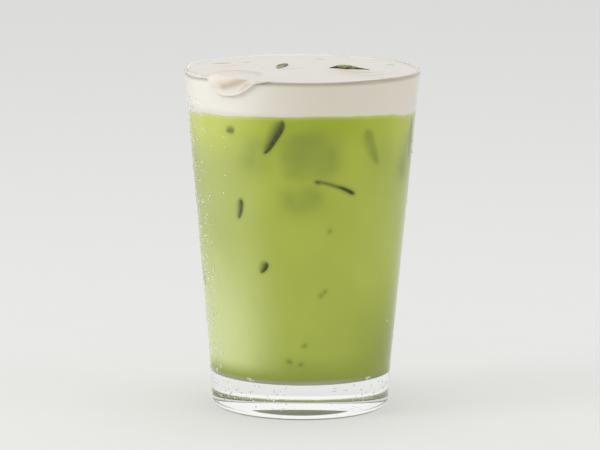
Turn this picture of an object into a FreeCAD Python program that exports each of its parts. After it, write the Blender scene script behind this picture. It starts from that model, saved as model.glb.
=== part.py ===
import FreeCAD, Part

import math
import os

import Sketcher

# A cold matcha latte in a tall flared tumbler: the glass, the green milk in it, a cap of cream that
# fills it to the lip and has run over the lip on one side, and three slivers of leaf on the cream.
# +Z is up, the origin is the middle of the glass's foot on the table, and the front is towards -Y.

# Driving sizes in millimetres and degrees: alias, value, meaning.
SIZES = [
    ("glass_height", 129.0, "from the table to the top of the lip"),
    ("rim_radius", 44.6, "outside of the lip"),
    ("lip_width", 1.7, "thickness of the glass at the lip"),
    ("flare_depth", 11.0, "how far below the lip the wall starts to flare"),
    ("flare_out", 1.2, "how far the flare carries the lip out"),
    ("wall", 2.0, "thickness of the wall where the flare starts"),
    ("shoulder_height", 17.0, "where the upright foot turns into the sloping wall"),
    ("shoulder_out", 1.0, "how far the foot widens up to there"),
    ("foot_radius", 33.3, "outside of the foot, before its corner is rounded"),
    ("foot_corner", 3.2, "radius of the foot's outer corner"),
    ("foot_wall", 2.2, "thickness of the wall at the inside floor"),
    ("floor_height", 13.5, "from the table to the inside floor"),
    ("floor_corner", 3.0, "radius between the inside floor and the wall"),
    ("punt_radius", 25.0, "hollow under the base, inside the ring it stands on"),
    ("punt_height", 2.4, "depth of that hollow"),
    ("punt_edge", 0.6, "radius of the hollow's edge"),
    ("cream_depth", 13.8, "from the lip down to where the green milk starts"),
    ("cream_dip", 0.7, "how far below the lip the cream meets the glass"),
    ("dome_rise", 0.4, "how far above the lip the middle of the cream stands"),
    ("spill_turn", -125.0, "direction of the run-over cream, from +X towards +Y"),
    ("spill_width", 27.0, "length of lip that the run-over cream covers"),
    ("spill_drop", 7.4, "how far it hangs below the top of the lip"),
    ("spill_bulge", 2.3, "how far it stands out from the glass"),
    ("spill_cover", 0.7, "how thick it lies over the lip"),
    ("smear_turn", 69.8, "direction of the small smear on the far side of the lip"),
    ("smear_width", 7.0, "length of lip that the smear covers"),
    ("smear_drop", 1.6, "how far it reaches down outside the lip"),
    ("smear_bulge", 0.5, "how far it stands out from the glass"),
    ("smear_cover", 0.8, "how thick it lies over the lip"),
    ("leaf_thick", 0.8, "thickness of a leaf sliver with the cream that clings to it"),
    ("leaf_sink", 0.5, "how deep a leaf sliver lies in the cream"),
]

# Slivers of leaf: name, length, width, distance from the axis as a share of the mouth's radius,
# direction from the axis and turn of the sliver, both in degrees from +X towards +Y.
LEAVES = [
    ("leaf_left", 10.5, 2.2, 0.777, 156.0, 14.0),
    ("leaf_middle", 14.0, 2.8, 0.179, 171.0, 72.0),
    ("leaf_right", 15.0, 7.0, 0.421, -4.8, -12.0),
]

# The run-over cream: where along its span a section is drawn, and how a section's outside runs
# down the glass, as shares of its bulge and of its drop.
SPILL_STATIONS = [0.0, 0.12, 0.27, 0.43, 0.58, 0.72, 0.86, 1.0]
SPILL_HANG = [(0.55, 0.08), (0.95, 0.42), (0.75, 0.82), (0.0, 1.0)]
SPILL_THINNEST = 0.12  # the section at either end, as a share of the fullest one
SPILL_LEAN = 0.72  # under 1 puts the fullest section nearer the first end
SPILL_SWELL = 0.8  # under 1 makes the ends blunter
SPILL_EDGE = 0.6  # its thickness at the mouth's edge, as a share of that on the lip
SPILL_REACH = 3.0  # how far in over the cream it starts
SPILL_ROOT = 0.9  # how far it is rooted below the cream's edge

LIP_ROUNDING = "sizes.lip_width * 0.48"
RING_TOLERANCE = 0.01
WALL_FACE = "sizes.foot_radius + sizes.shoulder_out"
FLARE_FACE = "sizes.rim_radius - sizes.flare_out"
FLARE_LEVEL = "sizes.glass_height - sizes.flare_depth"
MOUTH = "sizes.rim_radius - sizes.lip_width"
MILK_LEVEL = "sizes.glass_height - sizes.cream_depth"

doc = FreeCAD.newDocument("matcha_latte")
sheet = doc.addObject("Spreadsheet::Sheet", "sizes")
for row, (alias, amount, meaning) in enumerate(SIZES, start=1):
    sheet.set(f"A{row}", meaning)
    sheet.set(f"B{row}", str(amount))
    sheet.setAlias(f"B{row}", alias)
doc.recompute()


def value(expression):
    """The number that an expression on the sheet's cells comes to."""
    return float(sheet.evalExpression(expression))


def origin_plane(body, role):
    return next(plane for plane in body.Origin.OriginFeatures if plane.Role == role)


def pin_corner(sketch, edge, end, corner):
    """Ties one end of an edge to a corner given as two expressions, radius and height."""
    radius, height = corner
    for kind, axis, expression in (("DistanceX", -2, radius), ("DistanceY", -1, height)):
        if expression == "0":
            sketch.addConstraint(Sketcher.Constraint("PointOnObject", edge, end, axis))
            continue
        index = sketch.addConstraint(
            Sketcher.Constraint(kind, -1, 1, edge, end, value(expression))
        )
        sketch.setExpression(f"Constraints[{index}]", expression)


def crown_arc(outer, top):
    """The arc from an outer point up to a point on the axis, level where it meets the axis."""
    drop = outer[1] - top[1]
    centre = (outer[0] ** 2 + outer[1] ** 2 - top[1] ** 2) / (2 * drop)
    circle = Part.Circle(FreeCAD.Vector(0, centre, 0), FreeCAD.Vector(0, 0, 1), top[1] - centre)
    return Part.ArcOfCircle(circle, math.atan2(outer[1] - centre, outer[0]), math.pi / 2)


def turned_body(name, corners, crowns=()):
    """A body turned about +Z from a closed outline of corners. An edge listed in crowns is an arc
    between an outer corner and the axis, and the others are straight."""
    body = doc.addObject("PartDesign::Body", name)
    sketch = body.newObject("Sketcher::SketchObject", f"{name}_outline")
    sketch.AttachmentSupport = (origin_plane(body, "XZ_Plane"), [""])
    sketch.MapMode = "FlatFace"
    points = [(value(radius), value(height)) for radius, height in corners]
    starts = []
    for edge, start in enumerate(points):
        end = points[(edge + 1) % len(points)]
        if edge in crowns:
            rising = start[0] > end[0]
            sketch.addGeometry(crown_arc(start, end) if rising else crown_arc(end, start))
            sketch.addConstraint(Sketcher.Constraint("PointOnObject", edge, 3, -2))
            starts.append((1, 2) if rising else (2, 1))
        else:
            near, far = (FreeCAD.Vector(*point, 0) for point in (start, end))
            sketch.addGeometry(Part.LineSegment(near, far))
            starts.append((1, 2))
    for edge, (first, last) in enumerate(starts):
        after = (edge + 1) % len(points)
        sketch.addConstraint(
            Sketcher.Constraint("Coincident", edge, last, after, starts[after][0])
        )
        pin_corner(sketch, edge, first, corners[edge])
    turn = body.newObject("PartDesign::Revolution", f"{name}_turn")
    turn.Profile = sketch
    turn.ReferenceAxis = (sketch, ["V_Axis"])
    turn.Angle = 360
    sketch.Visibility = False
    doc.recompute()
    return body


def round_ring(body, name, corner, radius):
    """Rounds the ring edge of a turned body that runs through a corner."""
    ring, level = (value(expression) for expression in corner)
    base = body.Tip
    edges = [
        f"Edge{number}"
        for number, edge in enumerate(base.Shape.Edges, start=1)
        if not edge.Degenerated
        and isinstance(edge.Curve, Part.Circle)
        and abs(edge.Curve.Radius - ring) < RING_TOLERANCE
        and abs(edge.Curve.Center.z - level) < RING_TOLERANCE
    ]
    if not edges:
        raise ValueError(f"{name}: no ring edge at radius {ring} and height {level}")
    fillet = body.newObject("PartDesign::Fillet", name)
    fillet.Base = (base, edges)
    fillet.setExpression("Radius", radius)
    doc.recompute()


def moved(shape, offset, turn):
    """The shape turned about +Z in degrees and moved by an offset, both as expressions."""
    shape.setExpression("Placement.Rotation.Angle", turn)
    for axis, expression in zip("xyz", offset, strict=True):
        shape.setExpression(f"Placement.Base.{axis}", expression)
    return shape


def boolean(kind, name, first, *others):
    """The Cut or Common of a first shape with one other or the fusion of several."""
    tool = others[0]
    if len(others) > 1:
        tool = doc.addObject("Part::MultiFuse", f"{name}_tools")
        tool.Shapes = list(others)
    result = doc.addObject(f"Part::{kind}", name)
    result.Base = first
    result.Tool = tool
    doc.recompute()
    return result


def make_tumbler():
    """The glass: a heavy base with a hollow under it, a sloping wall and a rounded, flared lip."""
    foot = ("sizes.foot_radius", "0")
    ring = ("sizes.punt_radius", "0")
    shoulder = (WALL_FACE, "sizes.shoulder_height")
    flare = (FLARE_FACE, FLARE_LEVEL)
    lip_outside = ("sizes.rim_radius", "sizes.glass_height")
    lip_inside = (MOUTH, "sizes.glass_height")
    flare_inside = (f"{FLARE_FACE} - sizes.wall", FLARE_LEVEL)
    floor_edge = ("sizes.foot_radius - sizes.foot_wall", "sizes.floor_height")
    corners = [("0", "sizes.punt_height"), ring, foot, shoulder, flare, lip_outside, lip_inside]
    corners += [flare_inside, floor_edge, ("0", "sizes.floor_height")]
    body = turned_body("tumbler", corners, crowns=(0,))
    round_ring(body, "foot_rounding", foot, "sizes.foot_corner")
    round_ring(body, "punt_rounding", ring, "sizes.punt_edge")
    round_ring(body, "floor_rounding", floor_edge, "sizes.floor_corner")
    round_ring(body, "lip_rounding_outside", lip_outside, LIP_ROUNDING)
    round_ring(body, "lip_rounding_inside", lip_inside, LIP_ROUNDING)
    return body


def make_cavity():
    """The space inside the glass, carried on upright above the lip."""
    flare_inside = (f"{FLARE_FACE} - sizes.wall", FLARE_LEVEL)
    floor_edge = ("sizes.foot_radius - sizes.foot_wall", "sizes.floor_height")
    top = "sizes.glass_height + sizes.dome_rise + sizes.cream_depth"
    corners = [("0", "sizes.floor_height"), floor_edge, flare_inside]
    corners += [(MOUTH, "sizes.glass_height"), (MOUTH, top), ("0", top)]
    body = turned_body("cavity", corners)
    round_ring(body, "cavity_floor_rounding", floor_edge, "sizes.floor_corner")
    return body


def make_milk(cavity):
    """The green milk, from the inside floor up to the cream."""
    depth = doc.addObject("Part::Cylinder", "milk_depth")
    depth.setExpression("Radius", "sizes.rim_radius * 2")
    depth.setExpression("Height", MILK_LEVEL)
    return boolean("Common", "matcha_milk", cavity, depth)


def make_dome():
    """A disc as wide as the glass, with the cream's crowned top and flat underside."""
    edge = ("sizes.rim_radius", "sizes.glass_height - sizes.cream_dip")
    crown = ("0", "sizes.glass_height + sizes.dome_rise")
    corners = [("0", MILK_LEVEL), ("sizes.rim_radius", MILK_LEVEL), edge, crown]
    return turned_body("dome", corners, crowns=(2,))


def spill_section(turn, drop, bulge, cover):
    """One upright section of cream that has run over the lip: in over the cream, across the lip,
    out and down the glass. Its inner side runs inside the glass, which is cut out of it later."""
    top = value("sizes.glass_height")
    rim = value("sizes.rim_radius")
    mouth = value(MOUTH)
    lip_middle = (mouth + rim) / 2
    edge = top - value("sizes.cream_dip")
    slope = value("sizes.flare_out / sizes.flare_depth")
    angle = math.radians(turn)

    def place(radius, height):
        return FreeCAD.Vector(radius * math.cos(angle), radius * math.sin(angle), height)

    skin = [
        place(mouth - SPILL_REACH, edge),
        place(mouth, top + cover * SPILL_EDGE),
        place(lip_middle, top + cover),
    ]
    for out, down in SPILL_HANG:
        skin.append(place(rim + out * bulge - down * drop * slope, top - down * drop))
    core = [
        skin[-1],
        place(lip_middle - drop * slope, top - drop),
        place(mouth, edge - SPILL_ROOT),
        place(mouth - SPILL_REACH, edge - SPILL_ROOT),
        skin[0],
    ]
    curve = Part.BSplineCurve()
    curve.interpolate(skin)
    sides = [Part.LineSegment(start, end) for start, end in zip(core, core[1:])]
    return Part.Wire([curve.toShape()] + [side.toShape() for side in sides])


def make_spill(name):
    """Cream run over the lip: sections along the lip that swell and thin out again, lofted."""
    turn = value(f"sizes.{name}_turn")
    span = math.degrees(value(f"sizes.{name}_width / sizes.rim_radius"))
    fullest = [value(f"sizes.{name}_{part}") for part in ("drop", "bulge", "cover")]
    wires = []
    for share in SPILL_STATIONS:
        swell = math.sin(math.pi * share**SPILL_LEAN) ** SPILL_SWELL
        fullness = SPILL_THINNEST + (1 - SPILL_THINNEST) * swell
        amounts = [fullness * amount for amount in fullest]
        wires.append(spill_section(turn + (share - 0.5) * span, *amounts))
    spill = doc.addObject("Part::Feature", name)
    spill.Shape = Part.makeLoft(wires, True, False)
    return spill


def make_leaf(name, length, width, reach, direction, turn):
    """A pointed sliver of leaf: what two round discs share, laid on the cream's crown."""
    radius = (length**2 + width**2) / (4 * width)
    halves = []
    for side in (1, -1):
        disc = doc.addObject("Part::Cylinder", f"{name}_arc_{'near' if side > 0 else 'far'}")
        disc.Radius = radius
        disc.setExpression("Height", "sizes.leaf_thick")
        disc.Placement.Base = FreeCAD.Vector(0, side * (radius - width / 2), 0)
        halves.append(disc)
    leaf = boolean("Common", name, *halves)
    along = [f"({MOUTH}) * {reach} * {trig}({direction} deg)" for trig in ("cos", "sin")]
    crown = f"(sizes.cream_dip + sizes.dome_rise) * (1 - {reach} * {reach})"
    level = f"sizes.glass_height - sizes.cream_dip + {crown} - sizes.leaf_sink"
    return moved(leaf, (*along, level), str(turn))


def make_cream(cavity, tumbler, leaves):
    """The cream: a crowned disc in the mouth of the glass with the cream that ran over the lip,
    less the glass and the beds of the leaves."""
    disc = boolean("Common", "cream_disc", cavity, make_dome())
    whole = doc.addObject("Part::MultiFuse", "cream_whole")
    whole.Shapes = [disc, make_spill("spill"), make_spill("smear")]
    doc.recompute()
    return boolean("Cut", "cream_cap", whole, tumbler, *leaves)


def check(parts):
    """Stops the build where an object failed or a sub-part isn't one sound solid."""
    for item in doc.Objects:
        if {"Invalid", "Error"} & set(item.State):
            raise ValueError(f"{item.Label} is {item.State}")
    for part in parts:
        if part.Shape.isNull() or not part.Shape.isValid() or len(part.Shape.Solids) != 1:
            raise ValueError(f"{part.Label} isn't one sound solid")


tumbler = make_tumbler()
cavity = make_cavity()
milk = make_milk(cavity)
leaves = [make_leaf(*leaf) for leaf in LEAVES]
doc.recompute()
cream = make_cream(cavity, tumbler, leaves)
parts = [tumbler, milk, cream, *leaves]
doc.recompute()
check(parts)
os.makedirs("parts", exist_ok=True)
for part in parts:
    part.Shape.exportStep(f"parts/{part.Label}.step")
    print(f"{part.Label}: {part.Shape.Volume / 1000:.2f} cm3")
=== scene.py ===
"""Iced matcha latte in a flared tumbler: its looks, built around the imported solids."""
import math
import random

import bmesh
import bpy
import numpy as np
from bpy.props import FloatProperty, FloatVectorProperty, IntProperty, PointerProperty
from mathutils import Matrix, Vector, noise
from mathutils.bvhtree import BVHTree


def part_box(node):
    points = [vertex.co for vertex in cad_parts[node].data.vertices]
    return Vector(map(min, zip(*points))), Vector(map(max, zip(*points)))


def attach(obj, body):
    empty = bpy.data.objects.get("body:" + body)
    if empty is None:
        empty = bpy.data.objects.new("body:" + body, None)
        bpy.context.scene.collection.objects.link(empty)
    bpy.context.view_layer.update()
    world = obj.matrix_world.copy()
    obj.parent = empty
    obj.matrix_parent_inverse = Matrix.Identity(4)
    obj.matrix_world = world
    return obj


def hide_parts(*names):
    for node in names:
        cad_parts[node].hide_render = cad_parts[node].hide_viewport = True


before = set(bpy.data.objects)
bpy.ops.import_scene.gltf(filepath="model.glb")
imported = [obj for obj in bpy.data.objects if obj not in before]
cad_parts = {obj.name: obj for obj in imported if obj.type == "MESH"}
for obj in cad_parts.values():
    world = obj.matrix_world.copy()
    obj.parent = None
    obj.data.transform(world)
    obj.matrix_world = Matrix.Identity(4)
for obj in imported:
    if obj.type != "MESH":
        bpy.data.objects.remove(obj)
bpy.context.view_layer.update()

bl_info = {
    "name": "Iced Matcha Latte",
    "version": (1, 0, 0),
    "blender": (4, 5, 0),
    "location": "View3D > Sidebar > Latte",
    "description": "Builds a glass of iced matcha latte with cream, leaf and drops of water",
    "category": "Add Mesh",
}

MM = 0.001
FULL_TURN = 2 * math.pi

GLASS_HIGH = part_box("tumbler")[1]
MILK_LOW, MILK_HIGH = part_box("matcha_milk")
LIP_LEVEL = GLASS_HIGH.z
FLOOR_LEVEL = MILK_LOW.z
MILK_LEVEL = MILK_HIGH.z


def length(name, millimetres, description):
    """A length setting, with its default in millimetres."""
    return FloatProperty(
        name=name, description=description, default=millimetres * MM, unit="LENGTH", precision=4
    )


def angle(name, degrees, description):
    return FloatProperty(
        name=name, description=description, default=math.radians(degrees), unit="ROTATION"
    )


def number(name, default, description):
    return FloatProperty(name=name, description=description, default=default)


def count(name, default, description):
    return IntProperty(name=name, description=description, default=default, min=0)


def linear(channel):
    """One channel of a colour seen on screen, from 0 to 255, as linear light."""
    share = channel / 255
    return share / 12.92 if share <= 0.04045 else ((share + 0.055) / 1.055) ** 2.4


def colour(name, seen, description):
    """A colour setting, given by the colour seen on screen from 0 to 255."""
    default = [linear(channel) for channel in seen]
    return FloatVectorProperty(
        name=name, description=description, default=default, subtype="COLOR", min=0, max=1
    )


# ---------------------------------------------------------------- settings


class GlassSettings(bpy.types.PropertyGroup):
    """Sizes of the tumbler that its box doesn't give, and its tint."""

    lip_width: length("Lip width", 1.7, "Thickness of the glass at the lip")
    lip_round: length("Lip rounding", 0.9, "Depth of the rounded part of the lip")
    flare_depth: length("Flare depth", 11, "How far below the lip the wall starts to flare")
    flare_out: length("Flare", 1.2, "How far the flare carries the lip out")
    wall: length("Wall", 2, "Thickness of the wall where the flare starts")
    shoulder_height: length("Shoulder", 17, "Where the foot turns into the sloping wall")
    shoulder_out: length("Shoulder width", 1, "How far the foot widens up to the shoulder")
    foot_radius: length("Foot radius", 33.3, "Outside of the foot")
    foot_corner: length("Foot corner", 3.2, "Radius of the foot's outer corner")
    foot_wall: length("Foot wall", 2.2, "Thickness of the wall at the inside floor")
    floor_corner: length("Floor corner", 3, "Radius between the inside floor and the wall")
    punt_radius: length("Punt radius", 25, "Hollow under the base")
    punt_height: length("Punt height", 2.4, "Depth of the hollow under the base")
    blend: length("Blend", 4, "Height over which the wall's slopes blend into each other")
    segments: count("Segments", 256, "Steps around the glass")
    tint: colour("Tint", (254, 255, 255), "Colour of the clear glass")
    ior: number("IOR", 1.5, "Index of refraction of the glass")
    shine: number("Shine", 0.13, "Strength of its reflections, 0.5 for all that its IOR gives")


class MilkSettings(bpy.types.PropertyGroup):
    """The green milk: how it fills the glass, and its colours from the floor up."""

    bite: length("Bite", 0.2, "How far the milk reaches into the wall")
    cover: length("Cover", 2.5, "How far the milk goes on up behind the cream")
    step: length("Step", 0.65, "Height of one ring of the milk's mesh")
    segments: count("Segments", 384, "Steps around the milk")
    ice_reach: length("Ice reach", 2.2, "How deep under the surface ice still darkens the milk")
    leaf_reach: length("Leaf reach", 0.42, "How deep under the surface leaf still shows")
    at_floor: colour("At the floor", (150, 164, 52), "Milk in the corner above the floor")
    low: colour("Low", (177, 190, 72), "Milk in the lower third")
    middle: colour("Middle", (180, 192, 70), "Milk halfway up")
    high: colour("High", (182, 195, 58), "Milk near the top")
    at_cream: colour("At the cream", (172, 187, 28), "Milk just under the cream")
    under: colour("Underside", (188, 190, 164), "Milk where it rests on the glass floor")
    # Painted shade: this colour darkens the milk low down at the right, away from the key lamp.
    painted_shade_low_right: colour("Deeper", (148, 160, 46), "Milk low down at the right")
    # Painted light: the next three colours lighten the milk towards its sides, most at the left,
    # where the lamps and their reflections in the glass fall.
    painted_light_low_left: colour("Paler low", (217, 226, 156), "Milk low down at the left")
    painted_light_sides: colour("Paler", (180, 191, 94), "Milk at both sides, halfway up")
    painted_light_high: colour("Paler high", (206, 215, 86), "Milk at both sides, under the cream")
    fringe: length("Fringe", 0.5, "How far the cream bleeds down into the milk")
    by_cream: colour("By cream", (228, 226, 176), "Milk where the cream bleeds into it")
    by_ice: colour("By ice", (128, 142, 42), "Milk with ice right behind it")
    by_leaf: colour("By leaf", (76, 88, 2), "Milk with leaf right behind it")


class CreamSettings(bpy.types.PropertyGroup):
    """The cream: its rim, its crown, its folds and its colours."""

    bite: length("Bite", 0.25, "How far the cream reaches into the wall")
    dip: length("Dip", 0.7, "How far below the lip the cream meets the glass")
    slump: length("Slump", 0.9, "How much lower it lies beside the run-over")
    rise: length("Rise", 0.4, "How far above the lip its middle stands")
    wave: length("Wave", 0.3, "Height of the small waves in its lower edge")
    relief: length("Relief", 0.16, "Height of the unevenness of its top")
    run_turn: number("Run-over direction", -125, "Where it has run over, in degrees")
    segments: count("Segments", 320, "Steps around the cream")
    rings: count("Rings", 84, "Steps from the glass to the middle of its top")
    top: colour("Top", (234, 230, 222), "Cream seen from above")
    side: colour("Side", (234, 227, 210), "Cream seen through the wall")
    # Painted light: this colour whitens the cream's side towards the left, where the key lamp falls.
    painted_light_left: colour("Lit side", (247, 242, 232), "The same towards the left, where it is whiter")
    edge: colour("Edge", (233, 227, 215), "Cream just above the milk")
    # Painted shade: the rim colour is a darker band where the cream meets the wall just under the
    # lip, standing in for the shade of the lip.
    rim: colour("Rim", (184, 170, 150), "Thin cream where it climbs the wall")
    run: colour("Run-over", (249, 240, 227), "Cream that has run over the lip")
    # Painted shade: this colour darkens the run-over cream in its slanting hollow and past its crest
    # to the right, where its shadow falls.
    painted_fold_shade: colour("Fold", (212, 196, 172), "Hollows of the run-over cream")
    # Painted shade: this colour darkens the cream's top along its ripples.
    painted_ripple_shade: colour("Ripple", (218, 203, 182), "Ripples in its top")


class LeafSettings(bpy.types.PropertyGroup):
    """The slivers of leaf, on the cream and in the milk."""

    thick: length("Thickness", 0.3, "Thickness of a leaf")
    soaked: colour("Soaked", (40, 50, 0), "Leaf in the milk")
    drab: colour("Drab", (84, 95, 2), "The same where it is thin")
    dark: colour("Dark", (46, 54, 10), "Leaf seen dark side up")
    fresh: colour("Fresh", (156, 170, 72), "Lit leaf between its veins")
    pale: colour("Pale", (206, 212, 178), "Leaf under a film of cream")


class DropSettings(bpy.types.PropertyGroup):
    """Drops of water on the outside of the glass."""

    seed: count("Seed", 11, "Starting number of the random draws")
    drops: count("Drops", 7000, "Number of drops tried")
    smallest: length("Smallest", 0.2, "Radius of the smallest drop")
    largest: length("Largest", 0.85, "Radius of the largest drop")
    bulge: number("Bulge", 0.42, "Height of a drop as a share of its radius")


class StageSettings(bpy.types.PropertyGroup):
    """Camera, lamps and surroundings."""

    distance: length("Distance", 1532, "From the glass to the camera, level")
    height: length("Height", 318, "Camera above the table")
    tilt: angle("Tilt", 9.23, "How far the camera looks down")
    roll: angle("Roll", 0.4, "How far the camera leans")
    shift: number("Shift", -0.0023, "Sideways shift of the picture")
    lens: number("Lens", 245.9, "Focal length in millimetres on a 36 mm wide sensor")
    key_power: number("Key power", 6.5, "Watts of the big lamp at the left")
    fill_power: number("Fill power", 2.4, "Watts of the lamp at the right")
    top_power: number("Top power", 2.2, "Watts of the lamp overhead")
    gleam_power: number("Gleam power", 0.08, "Watts of the panel that gleams in the glass")
    ambient: number("Ambient", 0.64, "Strength of the even light from all around")
    surround: colour("Surroundings", (250, 250, 249), "Colour around the table")
    table: colour("Table", (240, 240, 238), "Colour of the table")
    glow: number("Table glow", 0.35, "How far the table is brightened to the surroundings")


class LatteSettings(bpy.types.PropertyGroup):
    """Everything a user may change."""

    glass: PointerProperty(type=GlassSettings)
    milk: PointerProperty(type=MilkSettings)
    cream: PointerProperty(type=CreamSettings)
    leaf: PointerProperty(type=LeafSettings)
    drop: PointerProperty(type=DropSettings)
    stage: PointerProperty(type=StageSettings)


# ---------------------------------------------------------------- shaders


class Value:
    """A node socket that can be used in sums: an expression on values adds its Math nodes."""

    def __init__(self, shader, socket):
        self.shader = shader
        self.socket = socket

    def math(self, operation, *values, **settings):
        settings["operation"] = operation
        return self.shader.node("ShaderNodeMath", settings, dict(enumerate(values)))

    def __add__(self, other):
        return self.math("ADD", self, other)

    def __sub__(self, other):
        return self.math("SUBTRACT", self, other)

    def __rsub__(self, other):
        return self.math("SUBTRACT", other, self)

    def __mul__(self, other):
        return self.math("MULTIPLY", self, other)

    def __truediv__(self, other):
        return self.math("DIVIDE", self, other)

    def __rtruediv__(self, other):
        return self.math("DIVIDE", other, self)

    __radd__ = __add__
    __rmul__ = __mul__

    def clamped(self):
        return self.math("ADD", self, 0.0, use_clamp=True)

    def between(self, low, high):
        """0 below low, 1 above high, and smooth in between."""
        settings = {"interpolation_type": "SMOOTHSTEP"}
        inputs = {"Value": self, "From Min": low, "From Max": high}
        return self.shader.node("ShaderNodeMapRange", settings, inputs)


class Shader:
    """The nodes of a material, a lamp or a world under construction."""

    def __init__(self, owner):
        self.owner = bpy.data.materials.new(owner) if isinstance(owner, str) else owner
        self.owner.use_nodes = True
        self.tree = self.owner.node_tree
        self.tree.nodes.clear()

    def node(self, kind, settings=None, inputs=None, output=0):
        """A node of that kind: its settings are set first, and then the inputs are given their
        values or links. The result is the output asked for."""
        node = self.tree.nodes.new(kind)
        for name, setting in (settings or {}).items():
            setattr(node, name, setting)
        for name, value in (inputs or {}).items():
            if isinstance(value, Value):
                self.tree.links.new(value.socket, node.inputs[name])
            else:
                node.inputs[name].default_value = value
        return None if output is None else Value(self, node.outputs[output])

    def place(self):
        """The point being shaded, in metres in the part's frame."""
        return self.node("ShaderNodeTexCoord", output="Object")

    def axes(self, vector):
        parts = self.node("ShaderNodeSeparateXYZ", inputs={"Vector": vector})
        return [Value(self, socket) for socket in parts.socket.node.outputs]

    def attribute(self, name):
        return self.node("ShaderNodeAttribute", {"attribute_name": name}, output="Fac")

    def cloud(self, vector, size, detail=2.0, stretch=(1, 1, 1)):
        """Soft noise from 0 to 1, with blotches of about the size given in metres."""
        sizes = {0: vector, 1: [share / size for share in stretch]}
        scaled = self.node("ShaderNodeVectorMath", {"operation": "MULTIPLY"}, sizes)
        inputs = {"Vector": scaled, "Scale": 1.0, "Detail": detail}
        return self.node("ShaderNodeTexNoise", None, inputs)

    def mixed(self, share, first, second):
        """A colour between two others: the first where share is 0."""
        inputs = {0: share, 6: self.rgba(first), 7: self.rgba(second)}
        return self.node("ShaderNodeMix", {"data_type": "RGBA"}, inputs, output=2)

    def layered(self, tone, *layers):
        """A colour with others laid over it in turn, each given with its share from 0 to 1."""
        for share, over in layers:
            tone = self.mixed(share, tone, over)
        return tone

    def rgba(self, value):
        return value if isinstance(value, Value) else (*value[:3], 1.0)

    def shaded(self, tone, share):
        """A colour made lighter or darker by a number."""
        settings = {"operation": "SCALE"}
        return self.node("ShaderNodeVectorMath", settings, {0: tone, "Scale": share})

    def bump(self, height, depth):
        inputs = {"Height": height, "Distance": depth, "Strength": 1.0}
        return self.node("ShaderNodeBump", None, inputs)

    def surface(self, tone, roughness, shine, **others):
        """A Principled surface: colour, roughness, strength of reflections and other inputs."""
        inputs = {"Base Color": self.rgba(tone), "Roughness": roughness}
        inputs["Specular IOR Level"] = shine
        inputs.update((name.replace("_", " "), value) for name, value in others.items())
        return self.node("ShaderNodeBsdfPrincipled", None, inputs)

    def looked_at(self):
        """1 for a ray that sees, straight or by glass, and 0 for one that gathers light."""
        rays = ("Is Camera Ray", "Is Glossy Ray", "Is Transmission Ray")
        camera, glossy, bent = (self.node("ShaderNodeLightPath", output=ray) for ray in rays)
        return camera.math("MAXIMUM", camera, camera.math("MAXIMUM", glossy, bent))

    def blend(self, share, first, second):
        return self.node("ShaderNodeMixShader", None, {0: share, 1: first, 2: second})

    def finished(self, surface, output="ShaderNodeOutputMaterial"):
        self.node(output, None, {"Surface": surface}, output=None)
        return self.owner


def clear_material(name, tint, ior, shine, clear=1.0):
    """Glass or water that bends what is seen through it and lets the lamps through."""
    shader = Shader(name)
    body = shader.surface(tint, 0.0, shine, IOR=ior, Transmission_Weight=clear)
    open_way = shader.node("ShaderNodeBsdfTransparent")
    shadow_ray = shader.node("ShaderNodeLightPath", output="Is Shadow Ray")
    diffuse_ray = shader.node("ShaderNodeLightPath", output="Is Diffuse Ray")
    lighting = shadow_ray.math("MAXIMUM", shadow_ray, diffuse_ray)
    return shader.finished(shader.blend(lighting, body, open_way))


# ---------------------------------------------------------------- meshes


def put_in_scene(name, data):
    """A new object that holds the data."""
    thing = bpy.data.objects.new(name, data)
    bpy.context.scene.collection.objects.link(thing)
    return thing


def mesh_piece(name, points, faces, slot, material, *replaced):
    """A smooth mesh piece on the drink's one body, standing for the nodes it replaces."""
    mesh = bpy.data.meshes.new(name)
    mesh.from_pydata([tuple(point) for point in points], [], faces)
    work = bmesh.new()
    work.from_mesh(mesh)
    bmesh.ops.recalc_face_normals(work, faces=work.faces)
    work.to_mesh(mesh)
    work.free()
    mesh.shade_smooth()
    mesh.materials.append(material)
    piece = put_in_scene(name, mesh)
    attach(piece, "root")
    if replaced:
        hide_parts(*replaced)
    return piece


def give(piece, name, values):
    """Give each of the piece's points a number that its material can read."""
    layer = piece.data.attributes.new(name, "FLOAT", "POINT")
    layer.data.foreach_set("value", np.asarray(values, np.float32).ravel())


def polar(radius, turn, height):
    """Points at a distance from the axis, an angle around it and a height."""
    return np.stack([radius * np.cos(turn), radius * np.sin(turn), height + 0 * radius], axis=-1)


def turned(rows, segments):
    """Points and faces of a turned shape. A row is a radius and a height, each one number or one
    for each segment, and the first and last rows are points on the axis."""
    turn = np.arange(segments) * FULL_TURN / segments
    points = [(0.0, 0.0, rows[0][1])]
    for radius, height in rows[1:-1]:
        points.extend(polar(radius + 0 * turn, turn, height).tolist())
    points.append((0.0, 0.0, rows[-1][1]))
    rings = 1 + np.arange((len(rows) - 2) * segments).reshape(-1, segments)
    after = np.roll(rings, -1, axis=1)
    quads = np.stack([rings[:-1], after[:-1], after[1:], rings[1:]], axis=-1).reshape(-1, 4)
    faces = quads.tolist()
    faces += [(0, there, here) for here, there in zip(rings[0].tolist(), after[0].tolist())]
    last = len(points) - 1
    faces += [(last, here, there) for here, there in zip(rings[-1].tolist(), after[-1].tolist())]
    return points, faces


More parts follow.
